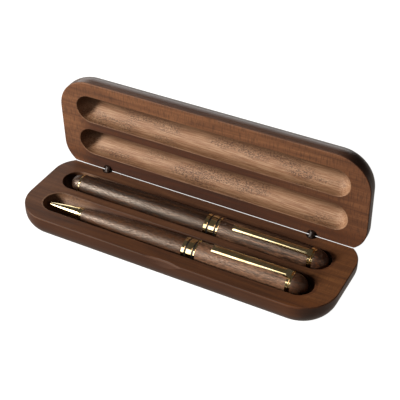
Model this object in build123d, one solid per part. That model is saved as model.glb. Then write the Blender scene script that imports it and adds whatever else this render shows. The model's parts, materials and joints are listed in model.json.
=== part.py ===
from build123d import *
import os

# A walnut presentation case for two pens, with its pens in it: a base and a lid routed with matching
# grooves and joined by two miniature barrel hinges, a capped fountain pen and a twist ballpoint.
# Millimetres. +X runs along the case towards the clip ends of the pens, +Y towards the hinges and +Z up.
# The origin is the centre of the base's bottom face. The lid stands open and the pens lie in the base.

# ---- Case: both halves share one outline ----
CASE_LENGTH = 172.0
CASE_DEPTH = 55.2
HALF_HEIGHT = 14.0  # thickness of each half, so also the height of the mating plane
FRONT_CORNER_R = 18.5
BACK_CORNER_R = 14.5
OUTER_EDGE_R = 10.5  # roundover round the bottom of the base and the top of the lid
MATING_EDGE_R = 0.4
HINGE_BEVEL = 3.2  # 45 degree bevel along the back of both mating faces, which stops the lid
SCOOP_X = 2.5  # middle of the finger scoop in the front edge
SCOOP_LENGTH = 23.0
SCOOP_DEPTH = 1.1
BASE_SCOOP_CUTS = ((SCOOP_DEPTH, 18.0), (1.35, 50.0))  # depth and outward lean of the wall and its chamfer
LID_SCOOP_CUTS = ((0.3, 18.0),)

# ---- Grooves: half-round, with ball ends; y is set from the hinge edge, where the bevel starts ----
HINGE_EDGE_Y = CASE_DEPTH / 2 - HINGE_BEVEL
GROOVE_R = 7.8
GROOVE_RIM_R = 0.3
GROOVE_LENGTH = 151.6
BACK_GROOVE_Y = HINGE_EDGE_Y - 15.5
FRONT_GROOVE_Y = HINGE_EDGE_Y - 36.0
LID_GROOVES = ((0.0, BACK_GROOVE_Y, GROOVE_LENGTH), (0.0, FRONT_GROOVE_Y, GROOVE_LENGTH))
BASE_GROOVES = ((-1.0, BACK_GROOVE_Y, GROOVE_LENGTH), (-0.3, FRONT_GROOVE_Y, GROOVE_LENGTH - 2.0))

# ---- Barrel hinges: a slotted barrel in each half, joined by a stack of links on two pins ----
HINGE_X = {"left": -59.8, "right": 58.4}
HALF_OPENING = 43.8  # degrees that each pin gives, so the lid stands open at twice this
BARREL_R = 2.85
BARREL_LENGTH = 6.4
BARREL_INSET = 0.1  # barrel's end face below the mating face
GLUE_GAP = 0.02  # radial gap of pieces that are glued or pressed together
PIN_INSET = 0.75  # pin axis below the mating face
PIN_Y = HINGE_EDGE_Y  # no further in, or the mating edges would cross as the lid closes
PIN_R = 0.4
PIN_RUNNING_GAP = 0.05
PIN_LENGTH = 4.2
LINK_SLOT_WIDTH = 2.6
LINK_THICKNESS = 0.8
LINK_PITCH = 0.83
LINK_R = 2.3
LINK_END_GAP = 0.2

# ---- Fountain pen, along its own axis: x is measured in the case ----
REST_GAP = 0.15  # pen above the bottom of its groove
SPIGOT_LENGTH = 5.0  # of the turned ends, inside the pen
FOUNTAIN_ROLL = 26.0  # degrees that the clip leans to the front
FOUNTAIN_BAND_R = 6.3
FOUNTAIN_TUBE_R = 4.4
FOUNTAIN_CAP_TUBE_R = 5.3
TUBE_WALL = 0.35
FOUNTAIN_END_X = -71.8
FOUNTAIN_END_R = 5.05
FOUNTAIN_END_RING_X = (-65.85, -64.8)
FOUNTAIN_END_RING_R = 5.3
FOUNTAIN_BARREL_R = (5.15, 6.05, 6.0)  # wooden sleeve at its left end, swell and right end
FOUNTAIN_BARREL_SWELL_X = -28.0
FOUNTAIN_SPLIT_X = 8.55  # mouth of the cap
FOUNTAIN_BAND_X = (8.55, 10.4, 11.25, 14.55, 15.35, 16.45)  # gold, black, gold, black, gold
FOUNTAIN_CAP_R = (6.1, 6.2, 5.85)
FOUNTAIN_CAP_SWELL_X = 40.0
FOUNTAIN_CLIP_X = (23.9, 64.15)
FOUNTAIN_CLIP_RING_X = (64.15, 65.75)
FOUNTAIN_CLIP_RING_R = 6.1
FOUNTAIN_FINIAL_RING_X = (65.75, 66.8)
FOUNTAIN_FINIAL_RING_R = 5.75
FOUNTAIN_TOP_X = 73.5
FOUNTAIN_TOP_R = 5.85
FOUNTAIN_SPIGOT_R = 3.5  # spigot of the finial, which carries the clip's ring and the finial's ring

# ---- Writing unit of the fountain pen ----
GRIP_X = (8.75, 18.0, 31.0)
GRIP_R = (4.75, 4.5, 3.9)
THREAD_X = -3.5
THREAD_R = 3.5
NIB_BASE_X = 27.0
NIB_SHOULDER_X = 37.0
NIB_TIP_X = 53.0
NIB_R = 2.75
NIB_THICKNESS = 0.35
NIB_SLIT = 0.2
NIB_SLIT_LENGTH = 15.0
FEED_GAP = 0.05  # between the nib and the feed
FIN_COUNT = 6
FIN_PITCH = 1.2
FIN_GAP = 0.5
CARTRIDGE_X = (-40.0, -4.0)
CARTRIDGE_R = 3.3
CARTRIDGE_WALL = 0.4
CARTRIDGE_END = 0.8
INNER_CAP_X = (32.0, 55.5)
INNER_CAP_BORE_R = 4.2
INNER_CAP_END = 1.0

# ---- Ballpoint, along its own axis ----
BALLPOINT_ROLL = 12.0
BALLPOINT_TILT = 0.8  # degrees, nose down, about its centre band
BALLPOINT_BAND_R = 5.8
BALLPOINT_LOWER_TUBE_R = 2.9
BALLPOINT_UPPER_TUBE_R = 4.8
BALLPOINT_TIP_X = -72.4
BALLPOINT_CONE_R = 3.3
BALLPOINT_NOSE_RING_X = (-54.2, -51.8)
BALLPOINT_NOSE_RING_R = 3.6
BALLPOINT_LOWER_R = (3.55, 5.15, 5.5)  # wooden sleeve at its left end, swell and right end
BALLPOINT_LOWER_SWELL_X = -22.0
BALLPOINT_SPLIT_X = 7.05
BALLPOINT_BAND_X = (7.05, 8.9, 9.75, 12.8, 13.7, 14.6)
BALLPOINT_UPPER_R = (5.6, 5.8, 5.5)
BALLPOINT_UPPER_SWELL_X = 38.0
BALLPOINT_CLIP_X = (22.5, 62.0)
BALLPOINT_CLIP_RING_X = (62.0, 63.6)
BALLPOINT_CLIP_RING_R = 5.8
BALLPOINT_FINIAL_RING_X = (63.6, 64.6)
BALLPOINT_FINIAL_RING_R = 5.4
BALLPOINT_TOP_X = 71.5
BALLPOINT_TOP_R = 5.6
BALLPOINT_SPIGOT_R = 3.3
REFILL_R = 1.55
REFILL_BORE_R = 1.7
REFILL_POINT_R = 0.8
REFILL_POINT_LENGTH = 8.0
REFILL_TIP_X = -71.2
REFILL_END_X = 28.0
DRIVE_X = (-12.0, 34.0)
DRIVE_R = 2.45
DRIVE_END = 1.0
BUSH_X = (12.0, 24.0)

# ---- Pocket clips, above the pen's axis ----
CLIP_TOP_R = 8.4
CLIP_THICKNESS = 1.3
CLIP_FOOT_R = 6.45  # where the free end comes down towards the wood
FOUNTAIN_CLIP_WIDTH = 3.6
FOUNTAIN_CLIP_END_R = 1.6  # corners of the free end seen from above
BALLPOINT_CLIP_WIDTH = 4.4
BALLPOINT_CLIP_END_R = 0.7
CLIP_CROWN = 0.62  # radius across the top, as a share of the width

LOWER_PIVOT = Axis((0, PIN_Y, HALF_HEIGHT - PIN_INSET), (1, 0, 0))
UPPER_PIVOT = Axis((0, PIN_Y, HALF_HEIGHT + PIN_INSET), (1, 0, 0))
MATING_PLANE = Plane.XY.offset(HALF_HEIGHT)


# ---- Case halves ----
def plan_outline():
    """Outline of both halves seen from above."""
    outline = Rectangle(CASE_LENGTH, CASE_DEPTH)
    outline = fillet(outline.vertices().group_by(Axis.Y)[0], FRONT_CORNER_R)
    return fillet(outline.vertices().group_by(Axis.Y)[-1], BACK_CORNER_R)


def capsule(x, y, length):
    """Cutter of one groove: a rod along X with ball ends, its axis in the mating plane."""
    outline = SlotOverall(length, 2 * GROOVE_R) & Pos(Y=GROOVE_R / 2) * Rectangle(2 * length, GROOVE_R)
    return Pos(x, y, HALF_HEIGHT) * Rot(X=90) * revolve(outline, Axis.X)


def bevel_cutter(extra=0.0):
    """Prism that cuts the 45 degree bevel along the back edge; extra cuts that much deeper."""
    leg = HINGE_BEVEL + 2.0
    start = HINGE_EDGE_Y - extra
    corner = Polyline((start, HALF_HEIGHT), (start + leg, HALF_HEIGHT - leg), (start + leg, HALF_HEIGHT + 1),
                      (start, HALF_HEIGHT + 1), close=True)
    face = Plane.YZ * make_face(corner)
    return extrude(face, CASE_LENGTH, both=True)


def scoop_cutter(depth, lean):
    """Large cylinder, leaning outwards, that shaves a lens-shaped scoop off the front edge."""
    radius = (SCOOP_LENGTH ** 2 / 4 + SCOOP_DEPTH ** 2) / (2 * SCOOP_DEPTH)
    cylinder = Pos(Y=-radius) * Cylinder(radius, HALF_HEIGHT)
    return Pos(SCOOP_X, -CASE_DEPTH / 2 + depth, HALF_HEIGHT) * Rot(X=-lean) * cylinder


def half_shell(grooves, scoop_cuts):
    """One half of the case, lying as the base does with its mating face up."""
    shell = extrude(plan_outline(), HALF_HEIGHT)
    shell = fillet(shell.faces().sort_by(Axis.Z)[0].edges(), OUTER_EDGE_R)
    shell = fillet(shell.faces().sort_by(Axis.Z)[-1].edges(), MATING_EDGE_R)
    for groove in grooves:
        shell -= capsule(*groove)
    rims = [wire.edges() for wire in shell.faces().sort_by(Axis.Z)[-1].inner_wires()]
    shell = fillet([edge for rim in rims for edge in rim], GROOVE_RIM_R)
    shell -= bevel_cutter()
    for depth, lean in scoop_cuts:
        shell -= scoop_cutter(depth, lean)
    floor = HALF_HEIGHT - BARREL_INSET - BARREL_LENGTH
    for x in HINGE_X.values():
        hole = Cylinder(BARREL_R + GLUE_GAP, HALF_HEIGHT, align=(Align.CENTER, Align.CENTER, Align.MIN))
        shell -= Pos(x, PIN_Y, floor) * hole
    return shell


def open_links(piece):
    """Swing a closed hinge's links to where they stand with the lid open."""
    return piece.rotate(LOWER_PIVOT, -HALF_OPENING)


def open_lid(piece):
    """Swing a piece of the closed lid to where it stands open: half the angle at each pin."""
    return open_links(piece.rotate(UPPER_PIVOT, -HALF_OPENING))


def on_lid(piece):
    """Turn a piece of the base into its partner in the open lid."""
    return open_lid(mirror(piece, about=MATING_PLANE))


# ---- Hinges ----
def hinge_barrel(x):
    """Base barrel: a plug with a slot for the links, cross-drilled for the pin and bevelled at the back."""
    top = HALF_HEIGHT - BARREL_INSET
    pin_z = HALF_HEIGHT - PIN_INSET
    plug = Pos(x, PIN_Y, top - BARREL_LENGTH / 2) * Cylinder(BARREL_R, BARREL_LENGTH)
    plug = chamfer(plug.faces().sort_by(Axis.Z)[0].edges(), 0.4)
    slot_floor = pin_z - LINK_R - LINK_END_GAP
    slot = Pos(x, PIN_Y, slot_floor) * Box(LINK_SLOT_WIDTH, 3 * BARREL_R, 2 * BARREL_LENGTH,
                                           align=(Align.CENTER, Align.CENTER, Align.MIN))
    pin_hole = Pos(x, PIN_Y, pin_z) * Rot(Y=90) * Cylinder(PIN_R + GLUE_GAP, 3 * BARREL_R)
    return plug - slot - pin_hole - bevel_cutter(extra=0.05)


def hinge_pin(x):
    """Base pin, pressed into both cheeks of its barrel."""
    return Pos(x, PIN_Y, HALF_HEIGHT - PIN_INSET) * Rot(Y=90) * Cylinder(PIN_R, PIN_LENGTH)


def hinge_links(x):
    """Three link plates side by side, turned round on the outside like the barrels."""
    outline = SlotCenterToCenter(2 * PIN_INSET, 2 * LINK_R, rotation=90)
    for side in (-1, 1):
        outline -= Pos(Y=side * PIN_INSET) * Circle(PIN_R + PIN_RUNNING_GAP)
    plate = extrude(Plane.YZ * outline, LINK_THICKNESS / 2, both=True)
    turned_outside = Cylinder(LINK_R, 4 * PIN_INSET + 2 * LINK_R)
    plates = [Pos(X=step * LINK_PITCH) * plate & turned_outside for step in (-1, 0, 1)]
    return Pos(x, PIN_Y, HALF_HEIGHT) * Compound(plates)


def case_parts():
    parts = {
        "base_shell": half_shell(BASE_GROOVES, BASE_SCOOP_CUTS),
        "lid_shell": on_lid(half_shell(LID_GROOVES, LID_SCOOP_CUTS)),
    }
    for side, x in HINGE_X.items():
        parts[f"{side}_hinge_base_barrel"] = hinge_barrel(x)
        parts[f"{side}_hinge_base_pin"] = hinge_pin(x)
        parts[f"{side}_hinge_links"] = open_links(hinge_links(x))
        parts[f"{side}_hinge_lid_barrel"] = on_lid(hinge_barrel(x))
        parts[f"{side}_hinge_lid_pin"] = on_lid(hinge_pin(x))
    return parts


# ---- Turned pieces: profiles in the XY plane, spun about X ----
def turned(outer, bore=0.0):
    """Spin an open outline, given as a curve from left to right, down to a bore."""
    start, end = outer @ 0, outer @ 1
    closing = Polyline((end.X, end.Y), (end.X, bore), (start.X, bore), (start.X, start.Y))
    return revolve(make_face(outer + closing), Axis.X)


def sleeve(x_start, x_end, radius, bore):
    """Plain ring or tube."""
    return turned(Line((x_start, radius), (x_end, radius)), bore)


def trim_ring(x_start, x_end, radius, bore, edge=0.15):
    """Ring with softened outer corners."""
    return turned(Polyline((x_start, radius - edge), (x_start + edge, radius), (x_end - edge, radius),
                           (x_end, radius - edge)), bore)


def wood_sleeve(x_start, x_swell, x_end, radii, bore):
    """Turned wood whose outline is one arc: radii at the start, the swell and the end."""
    return turned(ThreePointArc(*zip((x_start, x_swell, x_end), radii)), bore)


def closed_tube(x_start, x_end, radius, bore, end):
    """Tube closed at its right by an end wall of the given thickness."""
    return sleeve(x_start, x_end, radius, bore) + sleeve(x_end - end, x_end, radius, 0)


def dome(x_base, x_tip, radius, spigot_r):
    """Half-round end with a spigot that plugs into the pen's tube."""
    length = abs(x_tip - x_base)
    cap = revolve(make_face(EllipticalCenterArc((0, 0), length, radius, start_angle=0, arc_size=90)
                            + Polyline((0, radius), (0, 0), (length, 0))), Axis.X)
    spigot = Pos(X=-SPIGOT_LENGTH / 2) * Rot(Y=90) * Cylinder(spigot_r, SPIGOT_LENGTH)
    towards_tip = Rot(Z=0) if x_tip > x_base else Rot(Z=180)
    return Pos(X=x_base) * towards_tip * (cap + spigot)


def pocket_clip(clip_x, ring_x, width, end_r, ring_r, bore):
    """Clip along the top of the pen, crowned across, in one piece with the ring that holds it."""
    start, root = clip_x
    underside = CLIP_TOP_R - CLIP_THICKNESS
    crown_r = CLIP_CROWN * width
    side_view = Polyline((start, underside - 0.2), (start + 0.6, CLIP_TOP_R - 0.3), (start + 2.0, CLIP_TOP_R),
                         (root - 1.0, CLIP_TOP_R), (ring_x[1], ring_r + 0.6), (ring_x[1], bore + 0.2),
                         (ring_x[0], bore + 0.2), (root, ring_r), (root - 2.5, underside),
                         (start + 4.0, underside), (start + 2.0, CLIP_FOOT_R), (start + 1.2, CLIP_FOOT_R),
                         close=True)
    blade = extrude(Plane.XZ * make_face(side_view), width / 2, both=True)
    plan = Pos(X=(start + ring_x[1]) / 2) * Rectangle(ring_x[1] - start, width)
    plan = fillet(plan.vertices().group_by(Axis.X)[0], end_r)
    blade &= extrude(plan, 2 * CLIP_TOP_R)
    blade &= Pos(Z=CLIP_TOP_R - crown_r) * Rot(Y=90) * Cylinder(crown_r, 4 * CASE_LENGTH)
    ring = trim_ring(*ring_x, ring_r, bore)
    return blade + ring - Rot(Y=90) * Cylinder(bore, 4 * CASE_LENGTH)


def band(prefix, edges, radius, bore):
    """Centre band: three gold rings with two black ones between them."""
    names = ("band_lower_ring", "band_centre_ring", "band_upper_ring")
    parts = {}
    for index, name in enumerate(names):
        parts[f"{prefix}_{name}"] = trim_ring(edges[2 * index], edges[2 * index + 1], radius, bore)
    spacers = [sleeve(edges[i], edges[i + 1], radius - 0.25, bore) for i in (1, 3)]
    parts[f"{prefix}_band_spacers"] = Compound(spacers)
    return parts


# ---- Fountain pen ----
def nib_and_feed():
    """Gold nib, a tapered half shell with a slit, over a finned black feed."""
    outside = turned(Polyline((NIB_BASE_X, NIB_R), (NIB_SHOULDER_X, NIB_R), (NIB_TIP_X, 0.5)))
    inner_r = NIB_R - NIB_THICKNESS
    inner_tip = (NIB_TIP_X, 0.5 - NIB_THICKNESS)
    inside = turned(Polyline((NIB_BASE_X, inner_r), (NIB_SHOULDER_X, inner_r), inner_tip))
    upper_half = Pos((NIB_BASE_X + NIB_TIP_X) / 2, 0, NIB_R) * Box(2 * NIB_TIP_X, 4 * NIB_R, 2 * NIB_R)
    slit = Pos(NIB_TIP_X - NIB_SLIT_LENGTH / 2, 0, NIB_R) * Box(NIB_SLIT_LENGTH + 1, NIB_SLIT, 2 * NIB_R)
    nib = (outside - inside) & upper_half
    feed_r = inner_r - FEED_GAP
    feed = turned(Polyline((NIB_BASE_X, feed_r), (NIB_SHOULDER_X, feed_r), (NIB_TIP_X - 4, 0.5)))
    fins = [Pos(GRIP_X[-1] + 2 + FIN_PITCH * step, 0, -feed_r) * Box(FIN_GAP, 4 * feed_r, feed_r)
            for step in range(FIN_COUNT)]
    return nib - slit, feed - fins


def fountain_barrel():
    """The writing half: end dome, wooden barrel, grip section, nib, feed and cartridge."""
    bore = FOUNTAIN_TUBE_R
    inner = bore - TUBE_WALL - GLUE_GAP
    ring_start, ring_end = FOUNTAIN_END_RING_X
    mouth = FOUNTAIN_SPLIT_X
    nib, feed = nib_and_feed()
    grip = turned(Spline(*zip(GRIP_X, GRIP_R)), NIB_R + GLUE_GAP)
    thread = sleeve(THREAD_X, GRIP_X[0], THREAD_R, NIB_R + GLUE_GAP)
    cartridge = closed_tube(*CARTRIDGE_X, CARTRIDGE_R, CARTRIDGE_R - CARTRIDGE_WALL, CARTRIDGE_END)
    cartridge += sleeve(CARTRIDGE_X[0], CARTRIDGE_X[0] + CARTRIDGE_END, CARTRIDGE_R, 0)
    return {
        "fountain_end_dome": dome(ring_start, FOUNTAIN_END_X, FOUNTAIN_END_R, inner),
        "fountain_end_ring": trim_ring(ring_start, ring_end, FOUNTAIN_END_RING_R, inner + GLUE_GAP),
        "fountain_barrel_wood": wood_sleeve(ring_end, FOUNTAIN_BARREL_SWELL_X, mouth, FOUNTAIN_BARREL_R,
                                            bore + GLUE_GAP),
        "fountain_barrel_tube": sleeve(ring_end + 0.1, mouth - 0.1, bore, bore - TUBE_WALL),
        "fountain_barrel_coupler": sleeve(THREAD_X - 0.5, mouth - 0.1, inner, THREAD_R + GLUE_GAP),
        "fountain_grip_section": grip + thread,
        "fountain_nib": nib,
        "fountain_feed": feed,
        "fountain_cartridge": cartridge,
    }


def fountain_cap():
    """The cap: band, wooden sleeve, brass tube, inner cap, clip and finial."""
    bore = FOUNTAIN_CAP_TUBE_R + GLUE_GAP
    inner = FOUNTAIN_CAP_TUBE_R - TUBE_WALL - GLUE_GAP
    mouth, shoulder = FOUNTAIN_SPLIT_X, FOUNTAIN_CLIP_X[1]
    band_end = FOUNTAIN_BAND_X[-1]
    finial_base = FOUNTAIN_FINIAL_RING_X[1]
    spigot = FOUNTAIN_SPIGOT_R
    return {
        **band("fountain", FOUNTAIN_BAND_X, FOUNTAIN_BAND_R, bore),
        "fountain_cap_wood": wood_sleeve(band_end, FOUNTAIN_CAP_SWELL_X, shoulder, FOUNTAIN_CAP_R, bore),
        "fountain_cap_tube": sleeve(mouth + 0.3, shoulder, FOUNTAIN_CAP_TUBE_R, inner + GLUE_GAP),
        "fountain_inner_cap": closed_tube(*INNER_CAP_X, inner, INNER_CAP_BORE_R, INNER_CAP_END),
        "fountain_clip": pocket_clip(FOUNTAIN_CLIP_X, FOUNTAIN_CLIP_RING_X, FOUNTAIN_CLIP_WIDTH,
                                     FOUNTAIN_CLIP_END_R, FOUNTAIN_CLIP_RING_R, spigot),
        "fountain_finial_ring": trim_ring(*FOUNTAIN_FINIAL_RING_X, FOUNTAIN_FINIAL_RING_R, spigot),
        "fountain_finial": dome(finial_base, FOUNTAIN_TOP_X, FOUNTAIN_TOP_R, spigot - GLUE_GAP),
    }


# ---- Ballpoint ----
def ballpoint_lower():
    """The lower half, which turns to bring the refill out: nose cone, ring, wood and tube."""
    tube = BALLPOINT_LOWER_TUBE_R
    inner = tube - TUBE_WALL
    ring_start, ring_end = BALLPOINT_NOSE_RING_X
    split = BALLPOINT_SPLIT_X
    outside = Polyline((BALLPOINT_TIP_X, REFILL_POINT_R + 0.2), (BALLPOINT_TIP_X + 0.3, REFILL_POINT_R + 0.4),
                       (ring_start, BALLPOINT_CONE_R))
    cone = turned(outside, REFILL_POINT_R + PIN_RUNNING_GAP)
    cone -= sleeve(BALLPOINT_TIP_X + REFILL_POINT_LENGTH, ring_start, REFILL_BORE_R, 0)
    spigot = sleeve(ring_start, ring_end + 4, inner - GLUE_GAP, REFILL_BORE_R)
    return {
        "ballpoint_nose_cone": cone + spigot,
        "ballpoint_nose_ring": trim_ring(ring_start, ring_end, BALLPOINT_NOSE_RING_R, inner),
        "ballpoint_lower_wood": wood_sleeve(ring_end, BALLPOINT_LOWER_SWELL_X, split, BALLPOINT_LOWER_R,
                                            tube + GLUE_GAP),
        "ballpoint_lower_tube": sleeve(ring_end, split - 0.1, tube, inner),
    }


def ballpoint_upper():
    """The upper half: band, twist drive, wooden sleeve, tube, clip and finial."""
    tube = BALLPOINT_UPPER_TUBE_R
    bore = tube + GLUE_GAP
    inner = tube - TUBE_WALL - GLUE_GAP
    shoulder = BALLPOINT_CLIP_X[1]
    band_end = BALLPOINT_BAND_X[-1]
    finial_base = BALLPOINT_FINIAL_RING_X[1]
    spigot = BALLPOINT_SPIGOT_R
    return {
        **band("ballpoint", BALLPOINT_BAND_X, BALLPOINT_BAND_R, bore),
        "ballpoint_upper_wood": wood_sleeve(band_end, BALLPOINT_UPPER_SWELL_X, shoulder, BALLPOINT_UPPER_R,
                                            bore),
        "ballpoint_upper_tube": sleeve(BALLPOINT_SPLIT_X + 0.3, shoulder, tube, inner + GLUE_GAP),
        "ballpoint_twist_drive": closed_tube(*DRIVE_X, DRIVE_R, REFILL_BORE_R, DRIVE_END),
        "ballpoint_drive_bush": sleeve(*BUSH_X, inner, DRIVE_R + GLUE_GAP),
        "ballpoint_clip": pocket_clip(BALLPOINT_CLIP_X, BALLPOINT_CLIP_RING_X, BALLPOINT_CLIP_WIDTH,
                                      BALLPOINT_CLIP_END_R, BALLPOINT_CLIP_RING_R, spigot),
        "ballpoint_finial_ring": trim_ring(*BALLPOINT_FINIAL_RING_X, BALLPOINT_FINIAL_RING_R, spigot),
        "ballpoint_finial": dome(finial_base, BALLPOINT_TOP_X, BALLPOINT_TOP_R, spigot - GLUE_GAP),
    }


def ballpoint_refill():
    """Metal refill with a fine point, drawn back inside the nose cone."""
    shoulder = REFILL_TIP_X + REFILL_POINT_LENGTH + 2
    outline = Polyline((REFILL_TIP_X, 0.4), (REFILL_TIP_X + 2, REFILL_POINT_R), (shoulder, REFILL_POINT_R),
                       (shoulder + 1, REFILL_R), (REFILL_END_X, REFILL_R))
    return {"ballpoint_refill": turned(outline)}


# ---- Placing the pens in their grooves ----
def lay_fountain(piece):
    height = HALF_HEIGHT - GROOVE_R + FOUNTAIN_BAND_R + REST_GAP
    return Pos(0, BACK_GROOVE_Y, height) * Rot(X=FOUNTAIN_ROLL) * piece


def lay_ballpoint(piece):
    """Lay the pen on its centre band and let the thinner nose tip down."""
    height = HALF_HEIGHT - GROOVE_R + BALLPOINT_BAND_R + REST_GAP
    band_x = (BALLPOINT_BAND_X[2] + BALLPOINT_BAND_X[3]) / 2
    to_band = Pos(band_x, FRONT_GROOVE_Y, height) * Rot(Y=-BALLPOINT_TILT) * Pos(X=-band_x)
    return to_band * Rot(X=BALLPOINT_ROLL) * piece


def build():
    """Every sub-part, placed, by the name of its node."""
    parts = case_parts()
    for node, piece in {**fountain_barrel(), **fountain_cap()}.items():
        parts[node] = lay_fountain(piece)
    for node, piece in {**ballpoint_lower(), **ballpoint_upper(), **ballpoint_refill()}.items():
        parts[node] = lay_ballpoint(piece)
    return parts


os.makedirs("parts", exist_ok=True)
for node, piece in build().items():
    export_step(piece, f"parts/{node}.step")
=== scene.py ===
import json
import math

import bpy
from mathutils import Matrix, Vector


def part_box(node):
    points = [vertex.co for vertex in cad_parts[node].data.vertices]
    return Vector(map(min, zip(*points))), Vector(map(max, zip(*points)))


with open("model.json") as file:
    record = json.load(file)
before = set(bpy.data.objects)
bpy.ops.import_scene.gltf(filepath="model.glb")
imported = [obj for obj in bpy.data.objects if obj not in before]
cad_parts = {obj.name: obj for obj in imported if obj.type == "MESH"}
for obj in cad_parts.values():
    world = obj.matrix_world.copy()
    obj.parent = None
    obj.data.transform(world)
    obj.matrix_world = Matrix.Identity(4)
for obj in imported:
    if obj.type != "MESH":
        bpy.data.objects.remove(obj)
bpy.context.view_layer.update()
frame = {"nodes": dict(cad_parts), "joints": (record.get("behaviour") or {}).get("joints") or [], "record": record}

# Looks of a walnut case for two pens. Every piece keeps its CAD shape and gets a material; the script
# adds a floor, lights and a camera. Places and lights are in metres, patterns in the materials in
# millimetres.
MM = 0.001
PER_METRE = 1000.0  # object coordinates times this are millimetres

# ---- Places, from the frame ----
JOINTS = {joint["name"]: joint for joint in frame["joints"]}
LOWER_PIVOT = Vector(JOINTS["hinge_links_swing"]["pos_m"])
MATING_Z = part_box("base_shell")[1].z
BACK_GROOVE_Y = sum(c.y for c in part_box("fountain_barrel_wood")) / 2
FRONT_GROOVE_Y = sum(c.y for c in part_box("ballpoint_band_centre_ring")) / 2

# ---- Places, as in the CAD ----
HALF_OPENING = math.radians(43.8)  # half the angle at which the lid rests, open
FOUNTAIN_ROLL = math.radians(26)   # how far each clip leans to the front
BALLPOINT_ROLL = math.radians(12)
GROOVE_R = 7.8 * MM
GROOVE_HALF_LENGTH = 75.8 * MM

# ---- Camera: angles in degrees, azimuth from the front and positive to the right ----
CAMERA_AZIMUTH = 27.953
CAMERA_ELEVATION = 37.033
CAMERA_DISTANCE = 0.5339
CAMERA_LENS = 93.19
SENSOR_WIDTH = 36
AIM = Vector((-4.1, 24.4, 13.67)) * MM

# ---- Studio ----
WORLD_STRENGTH = 0.07
WORLD_COLOUR = (1.0, 0.88, 0.79, 1)
FLOOR_BOUNCE = 0.38   # the world's strength below the horizon
HORIZON_BLUR = 0.05   # how far below the horizon it is reached
FLOOR_GLOW = 1.0
FLOOR_REACH = 3.0
KEY_PLACE = {"azimuth": -47, "elevation": 24, "distance": 1.6}
KEY_COLOUR = (1.0, 0.95, 0.88)
FILL_COLOUR = (1.0, 0.70, 0.56)

# ---- Colours, linear ----
WALNUT_DARK = (0.026, 0.009, 0.0033, 1)
WALNUT_MID = (0.064, 0.024, 0.009, 1)
WALNUT_LIGHT = (0.112, 0.048, 0.020, 1)
STAIN = (0.022, 0.0100, 0.0072, 1)
GROOVE_TAN = (0.22, 0.135, 0.080, 1)
PORE = (0.010, 0.004, 0.002, 1)
PEN_DARK = (0.007, 0.0025, 0.001, 1)
PEN_MID = (0.024, 0.010, 0.0045, 1)
PEN_LIGHT = (0.105, 0.054, 0.031, 1)
GOLD = (0.90, 0.77, 0.47, 1)
GOLD_DEEP = (0.80, 0.64, 0.33, 1)
ENGRAVED = (0.16, 0.10, 0.035, 1)
BRASS = (0.80, 0.58, 0.26, 1)
BRASS_DEEP = (0.62, 0.42, 0.18, 1)
STEEL = (0.55, 0.54, 0.52, 1)
STEEL_DEEP = (0.42, 0.41, 0.40, 1)
HINGE_DARK = (0.005, 0.0025, 0.0018, 1)
HINGE_LIGHT = (0.014, 0.006, 0.004, 1)
LACQUER_DARK = (0.004, 0.004, 0.004, 1)
LACQUER_LIGHT = (0.012, 0.011, 0.010, 1)
PLASTIC_DARK = (0.008, 0.008, 0.009, 1)
PLASTIC_LIGHT = (0.02, 0.02, 0.02, 1)
INK_DARK = (0.02, 0.05, 0.22, 1)
INK_LIGHT = (0.05, 0.10, 0.35, 1)
PAPER_DARK = (0.10, 0.10, 0.10, 1)
PAPER_LIGHT = (0.12, 0.12, 0.12, 1)
CASE_SHEEN = (1.0, 0.93, 0.87, 1)
PEN_SHEEN = (1.0, 0.84, 0.72, 1)

# ---- Tints, which multiply a colour ----
LID_FACE_TINT = (1.42, 1.42, 1.42, 1)
HINGE_HALF_TINT = (0.35, 0.22, 0.10, 1)
HINGE_SIDE_TINT = (0.74, 0.62, 0.44, 1)
LID_END_TINT = (0.80, 0.74, 0.70, 1)
FRONT_EDGE_TINT = (0.80, 0.68, 0.46, 1)
BASE_LEFT_TINT = (0.88, 0.84, 0.80, 1)
BASE_END_TINT = (1.3, 1.2, 0.9, 1)
# Painted shading in the lid's grooves: shade on the upper wall, light on the lower wall, shade on the lower wall's
# lip.
UPPER_WALL_PAINTED_SHADE_TINT = (0.46, 0.41, 0.36, 1)
LOWER_WALL_PAINTED_LIGHT_TINT = (1.25, 1.25, 1.27, 1)
LOWER_LIP_PAINTED_SHADE_TINT = (0.62, 0.57, 0.50, 1)
BASE_GROOVE_TINT = (0.72, 0.62, 0.50, 1)
# Painted shade on the lit fillet all round the base's mating face.
BASE_RIM_PAINTED_SHADE_TINT = (0.66, 0.64, 0.62, 1)
FLECK_DARK = (0.55, 0.51, 0.48, 1)
FLECK_LIGHT = (1.45, 1.42, 1.4, 1)
FOUNTAIN_BARREL_TINT = (0.34, 0.26, 0.17, 1)
FOUNTAIN_FINIAL_TINT = (0.70, 0.50, 0.36, 1)
BALLPOINT_BARREL_TINT = (0.38, 0.29, 0.20, 1)
BALLPOINT_FINIAL_TINT = (0.36, 0.26, 0.18, 1)

# ---- Where a look sets in, in millimetres: none of it at the first number, all at the second ----
MATING = MATING_Z / MM
ON_FACE_Z = (MATING - 0.5, MATING - 0.1)
OUTSIDE_Z = (MATING - 0.5, MATING - 1.2)
RIM_BOTTOM_Z = (MATING - 0.45, MATING - 0.3)
RIM_TOP_Z = (MATING - 0.02, MATING - 0.1)
GROOVE_EDGE = (GROOVE_R / MM + 0.5, GROOVE_R / MM + 0.1)  # distance from the groove's axis
HINGE_HALF_Y = (-13.0, -3.0)
HINGE_HALF_X = (79.0, 66.0)
HINGE_HALF_FADE_X = (15.0, 60.0)
HINGE_SIDE_Y = (12.0, 18.0)
LID_END_X = (60.0, 78.0)
FRONT_EDGE_Y = (-16.5, -20.5)
BASE_END_X = (52.0, 76.0)
# Where the painted light on the base grooves' left end sets in.
GROOVE_LIGHT_X = (-46.0, -60.0)
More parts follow.
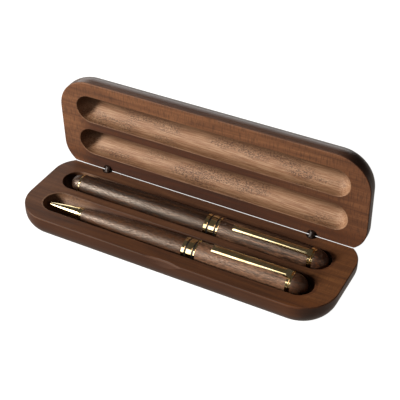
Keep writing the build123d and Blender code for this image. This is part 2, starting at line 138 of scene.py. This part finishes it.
# Painted shading across the lid's grooves: the first is where painted shade turns to painted light, the second
# where the lip's painted shade sets in.
WALL_SHADE_TO_LIGHT = (-1.5, 4.5)  # these two from the groove's axis towards the hinges
LIP_PAINTED_SHADE = (6.0, 7.8)
BARREL_X = (14.0, 8.0)
FINIAL_X = (62.0, 64.0)
CLIP_TOP = (1.5, 1.3)     # these two from the clip's middle line, and from an engraved line
LINE_WIDTH = (0.10, 0.04)
LINE_TAPER = 0.3          # length over which an engraved line sets in


class Graph:
    """Short way to write a material: each call adds a node and returns one of its outputs."""

    def __init__(self, name):
        self.material = bpy.data.materials.new(name)
        self.material.use_nodes = True
        self.tree = self.material.node_tree
        self.shader = self.tree.nodes["Principled BSDF"]

    def node(self, kind, inputs=None, output=0, **settings):
        made = self.tree.nodes.new("ShaderNode" + kind)
        for name, value in settings.items():
            setattr(made, name, value)
        for name, value in (inputs or {}).items():
            self.put(made.inputs[name], value)
        return made.outputs[output]

    def put(self, socket, value):
        if isinstance(value, bpy.types.NodeSocket):
            self.tree.links.new(value, socket)
        else:
            socket.default_value = value

    def surface(self, **inputs):
        """Feeds the shader, with its inputs' names written with underscores."""
        for name, value in inputs.items():
            self.put(self.shader.inputs[name.replace("_", " ")], value)
        return self.material

    def math(self, operation, *values):
        return self.node("Math", dict(enumerate(values)), operation=operation)

    def plus(self, first, second):
        return self.math("ADD", first, second)

    def minus(self, first, second):
        return self.math("SUBTRACT", first, second)

    def times(self, first, second):
        return self.math("MULTIPLY", first, second)

    def step(self, value, low, high):
        """0 below low, 1 above high and smooth between; swap the two for a falling edge."""
        return self.node("MapRange", {"Value": value, "From Min": low, "From Max": high},
                         interpolation_type="SMOOTHSTEP")

    def mix(self, factor, first, second, blend="MIX"):
        made = self.tree.nodes.new("ShaderNodeMix")
        made.data_type = "RGBA"
        made.blend_type = blend
        self.put(made.inputs[0], factor)
        self.put(made.inputs[6], first)    # 6 and 7 are the node's colour inputs
        self.put(made.inputs[7], second)
        return made.outputs[2]             # and 2 is its colour output

    def tint(self, factor, colour, by):
        return self.mix(factor, colour, by, "MULTIPLY")

    def ramp(self, value, stops):
        made = self.tree.nodes.new("ShaderNodeValToRGB")
        elements = made.color_ramp.elements
        while len(elements) < len(stops):
            elements.new(0.5)
        for element, (position, colour) in zip(elements, stops):
            element.position = position
            element.color = colour
        self.put(made.inputs[0], value)
        return made.outputs[0]

    def map(self, vector, scale=(1, 1, 1), rotation=(0, 0, 0), location=(0, 0, 0)):
        return self.node("Mapping", {"Vector": vector, "Scale": scale, "Rotation": rotation,
                                     "Location": location})

    def noise(self, vector, scale=1.0, detail=3.0, roughness=0.5, distortion=0.0):
        return self.node("TexNoise", {"Vector": vector, "Scale": scale, "Detail": detail,
                                      "Roughness": roughness, "Distortion": distortion})

    def grain(self, place, along, across, **settings):
        """Noise with one scale along X, where the grain runs, and another across it."""
        return self.noise(self.map(place, scale=(along, across, across)), **settings)

    def split(self, vector):
        made = self.tree.nodes.new("ShaderNodeSeparateXYZ")
        self.put(made.inputs[0], vector)
        return made.outputs

    def join(self, x, y, z):
        return self.node("CombineXYZ", {"X": x, "Y": y, "Z": z})

    def bump(self, height, strength, distance):
        return self.node("Bump", {"Height": height, "Strength": strength, "Distance": distance})

    def object_place(self):
        """Object coordinates, in metres: they ride with the piece."""
        return self.node("TexCoord", output="Object")

    def local_mm(self):
        return self.map(self.object_place(), scale=(PER_METRE,) * 3)


# ---- Frames for the grain ----
def open_lid_matrix():
    """From the closed lid to the lid as it rests, open: half the angle about each pivot."""
    closed_upper = LOWER_PIVOT + Vector((0, 0, 2 * (MATING_Z - LOWER_PIVOT.z)))
    turn = Matrix.Rotation(-HALF_OPENING, 4, "X")

    def about(pivot):
        return Matrix.Translation(pivot) @ turn @ Matrix.Translation(-pivot)
    return about(LOWER_PIVOT) @ about(closed_upper)


def half_frame(graph, lid):
    """Millimetres in a frame where either half lies as the base does: mating face up, hinges at +Y."""
    if not lid:
        return graph.local_mm()
    close = open_lid_matrix().inverted()
    shift = Vector((0, close.translation.y, 2 * MATING_Z - close.translation.z)) * PER_METRE
    scale = (PER_METRE, PER_METRE, -PER_METRE)
    return graph.map(graph.object_place(), scale=scale, rotation=(-close.to_euler().x, 0, 0),
                     location=shift)


def groove_distance(graph, place, groove_y):
    """Distance in millimetres from the straight middle stretch of a groove's axis."""
    x, y, z = graph.split(place)
    reach = (GROOVE_HALF_LENGTH - GROOVE_R) / MM
    past_end = graph.math("MAXIMUM", graph.minus(graph.math("ABSOLUTE", x), reach), 0.0)
    across = graph.minus(y, groove_y / MM)
    down = graph.minus(z, MATING)
    offset = graph.join(past_end, across, down)
    return graph.node("VectorMath", {0: offset}, output="Value", operation="LENGTH")


# ---- The case's walnut ----
def case_grain(graph, place):
    """The wood's own colour, with the grain along X, and the fibres, which other looks follow."""
    y = graph.split(place)[1]
    warp = graph.grain(place, along=0.012, across=0.05, detail=2.0)
    rings = graph.plus(graph.times(y, 0.05), graph.times(warp, 2.2))
    streaks = graph.grain(place, along=0.016, across=0.42, detail=5.0, roughness=0.6, distortion=0.4)
    fibres = graph.grain(place, along=0.09, across=2.6, detail=4.0, roughness=0.65)
    bands = graph.noise(graph.join(0.0, rings, 0.0), scale=2.0, detail=3.0)
    tone = graph.plus(graph.times(streaks, 0.5), graph.times(fibres, 0.25))
    tone = graph.plus(tone, graph.times(bands, 0.35))
    colour = graph.ramp(tone, ((0.38, WALNUT_DARK), (0.55, WALNUT_MID), (0.74, WALNUT_LIGHT)))
    return colour, fibres


def lid_tints(graph, place, colour, on_face):
    """A paler mating face, darker towards the hinges along the grooves' length, and darker at the right end."""
    x, y, z = graph.split(place)
    colour = graph.tint(on_face, colour, LID_FACE_TINT)
    # Darker towards the hinges along the grooves, fading out to the right.
    hinge_half = graph.times(graph.step(y, *HINGE_HALF_Y), graph.step(graph.math("ABSOLUTE", x), *HINGE_HALF_X))
    hinge_half = graph.times(hinge_half, graph.plus(graph.times(graph.step(x, *HINGE_HALF_FADE_X), -0.45), 1.0))
    colour = graph.tint(hinge_half, colour, HINGE_HALF_TINT)
    colour = graph.tint(graph.step(y, *HINGE_SIDE_Y), colour, HINGE_SIDE_TINT)
    return graph.tint(graph.step(x, *LID_END_X), colour, LID_END_TINT)


def base_tints(graph, place, colour):
    """Darker along the front edge, and paler at the right end."""
    x, y, z = graph.split(place)
    colour = graph.tint(graph.step(y, *FRONT_EDGE_Y), colour, FRONT_EDGE_TINT)
    end_tint = graph.mix(graph.step(x, *BASE_END_X), BASE_LEFT_TINT, BASE_END_TINT)
    return graph.tint(1.0, colour, end_tint)


def sanding_marks(graph, place, colour, strength):
    """Fine dark marks across the grain, as strong as strength says at each point."""
    ticks = graph.noise(graph.map(place, scale=(1.6, 0.2, 1.0)), detail=2.0, roughness=0.6)
    return graph.mix(graph.times(graph.step(ticks, 0.5, 0.62), strength), colour, WALNUT_DARK)


def lid_grooves(graph, place, colour, in_groove, tan):
    """Tan wood with painted shading: with the lid open, the upper wall is painted darker as shade, the lower wall
    lighter as light, and the lower wall's lip darker as shade.
    """
    y = graph.split(place)[1]
    apart = (BACK_GROOVE_Y - FRONT_GROOVE_Y) / MM
    from_axis = graph.math("WRAP", graph.minus(y, FRONT_GROOVE_Y / MM), apart / 2, -apart / 2)
    # Painted shade on the upper wall, turning to painted light on the lower wall.
    painted_wall_shading = graph.mix(graph.step(from_axis, *WALL_SHADE_TO_LIGHT), UPPER_WALL_PAINTED_SHADE_TINT, LOWER_WALL_PAINTED_LIGHT_TINT)
    tan = graph.tint(1.0, tan, painted_wall_shading)
    # Painted shade on the lower wall's lip, by the lower rim.
    tan = graph.tint(graph.step(from_axis, *LIP_PAINTED_SHADE), tan, LOWER_LIP_PAINTED_SHADE_TINT)
    return graph.mix(graph.times(in_groove, 0.85), colour, tan)


def base_grooves(graph, place, colour, in_groove, tan):
    """Darker than the face, with painted light turning it partly tan at the left end, and a dark line of painted
    shade below the rim.
    """
    x, y, z = graph.split(place)
    # Painted light: a warm lit patch towards the grooves' left end.
    painted_light = graph.times(graph.step(x, *GROOVE_LIGHT_X), 0.5)
    stained = graph.tint(1.0, colour, BASE_GROOVE_TINT)
    colour = graph.mix(in_groove, colour, graph.mix(painted_light, stained, tan))
    # Painted shade: the fillet just below the mating face is darkened all round where it catches the key light.
    rim = graph.times(graph.step(z, *RIM_BOTTOM_Z), graph.step(z, *RIM_TOP_Z))
    return graph.tint(rim, colour, BASE_RIM_PAINTED_SHADE_TINT)


def torn_grain(graph, place, in_groove):
    """Patches of specks that the cutter tore out of the grooves, as a mask."""
    patches = graph.grain(place, along=0.035, across=0.12, detail=2.0)
    specks = graph.grain(place, along=1.1, across=1.9, detail=3.0, roughness=0.7)
    torn = graph.times(graph.step(patches, 0.45, 0.62), graph.step(specks, 0.47, 0.57))
    return graph.times(torn, in_groove)


def case_walnut(name, lid):
    """Walnut with satin lacquer and a dark stain outside; the mating faces and grooves are bare."""
    graph = Graph(name)
    place = half_frame(graph, lid)
    z = graph.split(place)[2]
    on_face = graph.step(z, *ON_FACE_Z)
    near = graph.math("MINIMUM", groove_distance(graph, place, BACK_GROOVE_Y),
                      groove_distance(graph, place, FRONT_GROOVE_Y))
    in_groove = graph.step(near, *GROOVE_EDGE)
    colour, fibres = case_grain(graph, place)
    tan = graph.mix(graph.step(fibres, 0.35, 0.7), WALNUT_LIGHT, GROOVE_TAN)
    if lid:
        colour = lid_tints(graph, place, colour, on_face)
        colour = sanding_marks(graph, place, colour, graph.times(on_face, 0.5))
        colour = lid_grooves(graph, place, colour, in_groove, tan)
    else:
        colour = base_tints(graph, place, colour)
        colour = sanding_marks(graph, place, colour, graph.times(on_face, 0.25))
        colour = base_grooves(graph, place, colour, in_groove, tan)

    torn = torn_grain(graph, place, in_groove)
    colour = graph.mix(graph.times(torn, 0.85), colour, WALNUT_DARK)
    pores = graph.step(graph.grain(place, along=0.35, across=5.0, detail=2.0, roughness=0.6), 0.62, 0.72)
    colour = graph.mix(graph.times(pores, 0.5), colour, PORE)

    bare = graph.math("MAXIMUM", graph.minus(1.0, graph.step(z, *OUTSIDE_Z)), in_groove)
    colour = graph.mix(graph.times(graph.minus(1.0, bare), 0.62), colour, STAIN)
    rough = graph.plus(graph.times(bare, 0.34), graph.plus(graph.times(fibres, 0.15), 0.24))
    height = graph.minus(graph.times(fibres, 0.3), graph.plus(pores, graph.times(torn, 0.6)))
    return graph.surface(Base_Color=colour, Roughness=rough, Specular_IOR_Level=0.35,
                         Specular_Tint=CASE_SHEEN, Normal=graph.bump(height, 0.25, 0.04 * MM))


# ---- Other materials ----
def pen_walnut(name, centre_y, paler, roughness, barrel_tint, finial_tint):
    """Turned walnut with the grain along the pen; the larger paler is, the more of it is pale."""
    graph = Graph(name)
    place = graph.map(graph.local_mm(), location=(0, -centre_y / MM, 0))
    warp = graph.grain(place, along=0.02, across=0.1, detail=2.0)
    shift = graph.join(0.0, graph.times(warp, 6.0), 0.0)
    shifted = graph.node("VectorMath", {0: place, 1: shift}, operation="ADD")
    streaks = graph.grain(shifted, along=0.03, across=0.9, detail=5.0, roughness=0.65)
    fibres = graph.grain(shifted, along=0.12, across=4.0, detail=3.0, roughness=0.6)
    tone = graph.plus(graph.times(streaks, 0.55), graph.times(fibres, 0.45))
    colour = graph.ramp(tone, ((0.42, PEN_DARK), (0.52 - paler, PEN_MID), (0.62 - paler, PEN_LIGHT)))
    x = graph.split(place)[0]
    colour = graph.tint(graph.step(x, *BARREL_X), colour, barrel_tint)
    colour = graph.tint(graph.step(x, *FINIAL_X), colour, finial_tint)
    pores = graph.step(graph.grain(place, along=0.5, across=7.0, detail=2.0), 0.6, 0.7)
    colour = graph.mix(graph.times(pores, 0.6), colour, PORE)

    # Short flecks: the pale ones are also glossier and stand a little proud.
    flecks = graph.grain(shifted, along=0.45, across=2.0, detail=4.0, roughness=0.7)
    pale = graph.step(flecks, 0.42, 0.60)
    colour = graph.tint(1.0, colour, graph.mix(pale, FLECK_DARK, FLECK_LIGHT))
    rough = graph.plus(graph.times(pale, -0.14), roughness + 0.14)
    height = graph.minus(graph.times(flecks, 1.5), pores)
    return graph.surface(Base_Color=colour, Roughness=rough, Specular_IOR_Level=0.5,
                         Specular_Tint=PEN_SHEEN, Normal=graph.bump(height, 0.8, 0.1 * MM))


def plate_colour(graph, place, bright, deep):
    """A faint drift of colour over a metal surface."""
    drift = graph.noise(place, scale=0.15, detail=2.0)
    return graph.mix(graph.step(drift, 0.35, 0.65), deep, bright)


def polished_metal(name, bright, deep, roughness):
    """Metal with fine hairlines round the turned pieces."""
    graph = Graph(name)
    place = graph.local_mm()
    colour = plate_colour(graph, place, bright, deep)
    hairlines = graph.grain(place, along=3.0, across=0.3, detail=2.0)
    rough = graph.plus(graph.times(hairlines, 0.08), roughness)
    return graph.surface(Base_Color=colour, Metallic=1.0, Roughness=rough,
                         Normal=graph.bump(hairlines, 0.02, 0.002 * MM))


def engraved_gold(name, node, roll, pitch, start_x):
    """Gold plate with dark lines along a clip, from start_x on; roll is how far the clip leans.

    The node is a ring round the same pen, so its middle is on the pen's axis.
    """
    graph = Graph(name)
    place = graph.local_mm()
    colour = plate_colour(graph, place, GOLD, GOLD_DEEP)
    axis = sum(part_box(node), Vector()) / (2 * MM)
    x, y, z = graph.split(place)
    across = graph.plus(graph.times(graph.minus(y, axis.y), math.cos(roll)),
                        graph.times(graph.minus(z, axis.z), math.sin(roll)))
    to_line = graph.math("PINGPONG", across, pitch / 2)
    line = graph.times(graph.step(to_line, *LINE_WIDTH), graph.step(x, start_x, start_x + LINE_TAPER))
    line = graph.times(line, graph.step(graph.math("ABSOLUTE", across), *CLIP_TOP))
    colour = graph.mix(graph.times(line, 0.8), colour, ENGRAVED)
    rough = graph.plus(graph.times(line, 0.25), 0.09)
    return graph.surface(Base_Color=colour, Metallic=1.0, Roughness=rough,
                         Normal=graph.bump(line, -0.3, 0.05 * MM))


def moulded(name, dark, light, roughness, specular=0.5):
    """Moulded or lacquered material with a fine mottle."""
    graph = Graph(name)
    mottle = graph.noise(graph.local_mm(), scale=0.8, detail=4.0)
    colour = graph.mix(graph.step(mottle, 0.35, 0.65), dark, light)
    rough = graph.plus(graph.times(mottle, 0.15), roughness)
    return graph.surface(Base_Color=colour, Roughness=rough, Specular_IOR_Level=specular,
                         Normal=graph.bump(mottle, 0.05, 0.03 * MM))


def paper_floor():
    graph = Graph("studio_floor_paper")
    fibre = graph.noise(graph.local_mm(), scale=0.05, detail=2.0)
    colour = graph.mix(fibre, PAPER_DARK, PAPER_LIGHT)
    return graph.surface(Base_Color=colour, Roughness=0.9, Emission_Color=(1, 1, 1, 1),
                         Emission_Strength=FLOOR_GLOW)


# ---- A material for every piece ----
def paint(obj, material):
    slots = obj.data.materials
    if not slots:
        slots.append(material)
    for index in range(len(slots)):
        slots[index] = material


def paint_nodes():
    by_slot = {
        "gold_trim": polished_metal("gold_plate", GOLD, GOLD_DEEP, roughness=0.08),
        "tube_brass": polished_metal("brass_tube", BRASS, BRASS_DEEP, roughness=0.25),
        "hinge_brass": moulded("hinge_black_oxide", HINGE_DARK, HINGE_LIGHT, roughness=0.3, specular=0.18),
        "black_trim": moulded("black_lacquer", LACQUER_DARK, LACQUER_LIGHT, roughness=0.15),
        "black_plastic": moulded("black_plastic", PLASTIC_DARK, PLASTIC_LIGHT, roughness=0.3),
        "cartridge_plastic": moulded("ink_cartridge", INK_DARK, INK_LIGHT, roughness=0.3)}
    steel = polished_metal("steel", STEEL, STEEL_DEEP, roughness=0.22)
    by_slot["refill_metal"] = steel
    by_slot["hinge_pin_steel"] = steel
    fountain_wood = pen_walnut("fountain_walnut", BACK_GROOVE_Y, paler=0.03, roughness=0.32,
                               barrel_tint=FOUNTAIN_BARREL_TINT, finial_tint=FOUNTAIN_FINIAL_TINT)
    ballpoint_wood = pen_walnut("ballpoint_walnut", FRONT_GROOVE_Y, paler=0.13, roughness=0.38,
                                barrel_tint=BALLPOINT_BARREL_TINT, finial_tint=BALLPOINT_FINIAL_TINT)
    by_node = {
        "base_shell": case_walnut("base_walnut", lid=False),
        "lid_shell": case_walnut("lid_walnut", lid=True),
        "fountain_clip": engraved_gold("fountain_clip_gold", "fountain_band_centre_ring",
                                       FOUNTAIN_ROLL, pitch=0.62, start_x=50.0),
        "ballpoint_clip": engraved_gold("ballpoint_clip_gold", "ballpoint_band_centre_ring",
                                        BALLPOINT_ROLL, pitch=0.8, start_x=25.0)}
    slot_of = {part["node"]: part["material_slot"] for part in frame["record"]["subparts"]}
    for node, obj in frame["nodes"].items():
        slot = slot_of.get(node)
        if node in by_node:
            material = by_node[node]
        elif slot == "pen_walnut":
            material = fountain_wood if node.startswith("fountain") else ballpoint_wood
        else:
            material = by_slot[slot]
        paint(obj, material)


# ---- Studio ----
def add_floor():
    mesh = bpy.data.meshes.new("studio_floor")
    corners = [(-FLOOR_REACH, -FLOOR_REACH, 0), (FLOOR_REACH, -FLOOR_REACH, 0),
               (FLOOR_REACH, FLOOR_REACH, 0), (-FLOOR_REACH, FLOOR_REACH, 0)]
    mesh.from_pydata(corners, [], [(0, 1, 2, 3)])
    floor = bpy.data.objects.new("studio_floor", mesh)
    bpy.context.scene.collection.objects.link(floor)
    mesh.materials.append(paper_floor())
    floor.visible_glossy = False  # the world's lower half stands in for its bounce
    floor.visible_diffuse = False


def direction(azimuth, elevation):
    """Unit vector from the aim: azimuth in degrees from the front, positive to the right."""
    a, e = math.radians(azimuth), math.radians(elevation)
    return Vector((math.sin(a) * math.cos(e), -math.cos(a) * math.cos(e), math.sin(e)))


def stand(obj, azimuth, elevation, distance):
    """Adds a light or camera to the scene, looking at the aim."""
    bpy.context.scene.collection.objects.link(obj)
    towards = direction(azimuth, elevation)
    obj.location = AIM + towards * distance
    obj.rotation_euler = towards.to_track_quat("Z", "Y").to_euler()


def softbox(name, azimuth, elevation, distance, width, height, power, colour=(1, 1, 1)):
    light = bpy.data.lights.new(name, "AREA")
    light.color = colour
    light.shape = "RECTANGLE"
    light.size = width
    light.size_y = height
    light.energy = power
    obj = bpy.data.objects.new(name, light)
    stand(obj, azimuth, elevation, distance)
    return obj


def link_light(light, pieces, state):
    """INCLUDE: the light falls on these pieces alone. EXCLUDE: on everything else."""
    receivers = bpy.data.collections.new(light.name + "_receivers")
    for piece in pieces:
        receivers.objects.link(piece)
    for entry in receivers.collection_objects:
        entry.light_linking.link_state = state
    light.light_linking.receiver_collection = receivers


def light_world():
    """Dim all round, and brighter below the horizon, from where the floor throws light back."""
    world = bpy.data.worlds.new("studio")
    bpy.context.scene.world = world
    world.use_nodes = True
    tree = world.node_tree
    place = tree.nodes.new("ShaderNodeTexCoord")
    split = tree.nodes.new("ShaderNodeSeparateXYZ")
    level = tree.nodes.new("ShaderNodeMapRange")
    level.inputs["From Min"].default_value = -HORIZON_BLUR
    level.inputs["From Max"].default_value = 0.0
    level.inputs["To Min"].default_value = FLOOR_BOUNCE
    level.inputs["To Max"].default_value = WORLD_STRENGTH
    tree.links.new(place.outputs["Generated"], split.inputs[0])
    tree.links.new(split.outputs["Z"], level.inputs["Value"])
    tree.links.new(level.outputs["Result"], tree.nodes["Background"].inputs["Strength"])
    tree.nodes["Background"].inputs["Color"].default_value = WORLD_COLOUR


def add_lights():
    """The gold has a key light of its own, larger and dimmer, so that its highlights stay soft."""
    key = softbox("key_left", **KEY_PLACE, width=0.27, height=0.38, power=70, colour=KEY_COLOUR)
    gold_key = softbox("gold_key", **KEY_PLACE, width=0.5, height=0.7, power=14, colour=KEY_COLOUR)
    gold_pieces = [frame["nodes"][part["node"]] for part in frame["record"]["subparts"]
                   if part["material_slot"] == "gold_trim"]
    link_light(key, gold_pieces, "EXCLUDE")
    link_light(gold_key, gold_pieces, "INCLUDE")
    softbox("front_left", azimuth=-24, elevation=18, distance=1.4,
            width=0.34, height=1.0, power=3, colour=KEY_COLOUR)
    softbox("fill_right", azimuth=78, elevation=12, distance=1.4,
            width=0.5, height=0.6, power=2.2, colour=FILL_COLOUR)
    softbox("behind", azimuth=214, elevation=16, distance=1.6, width=2.0, height=0.7, power=10)


def add_camera():
    data = bpy.data.cameras.new("camera")
    data.lens = CAMERA_LENS
    data.sensor_width = SENSOR_WIDTH
    obj = bpy.data.objects.new("camera", data)
    stand(obj, CAMERA_AZIMUTH, CAMERA_ELEVATION, CAMERA_DISTANCE)
    bpy.context.scene.camera = obj


paint_nodes()
add_floor()
light_world()
add_lights()
add_camera()
bpy.context.scene.view_settings.view_transform = "Standard"
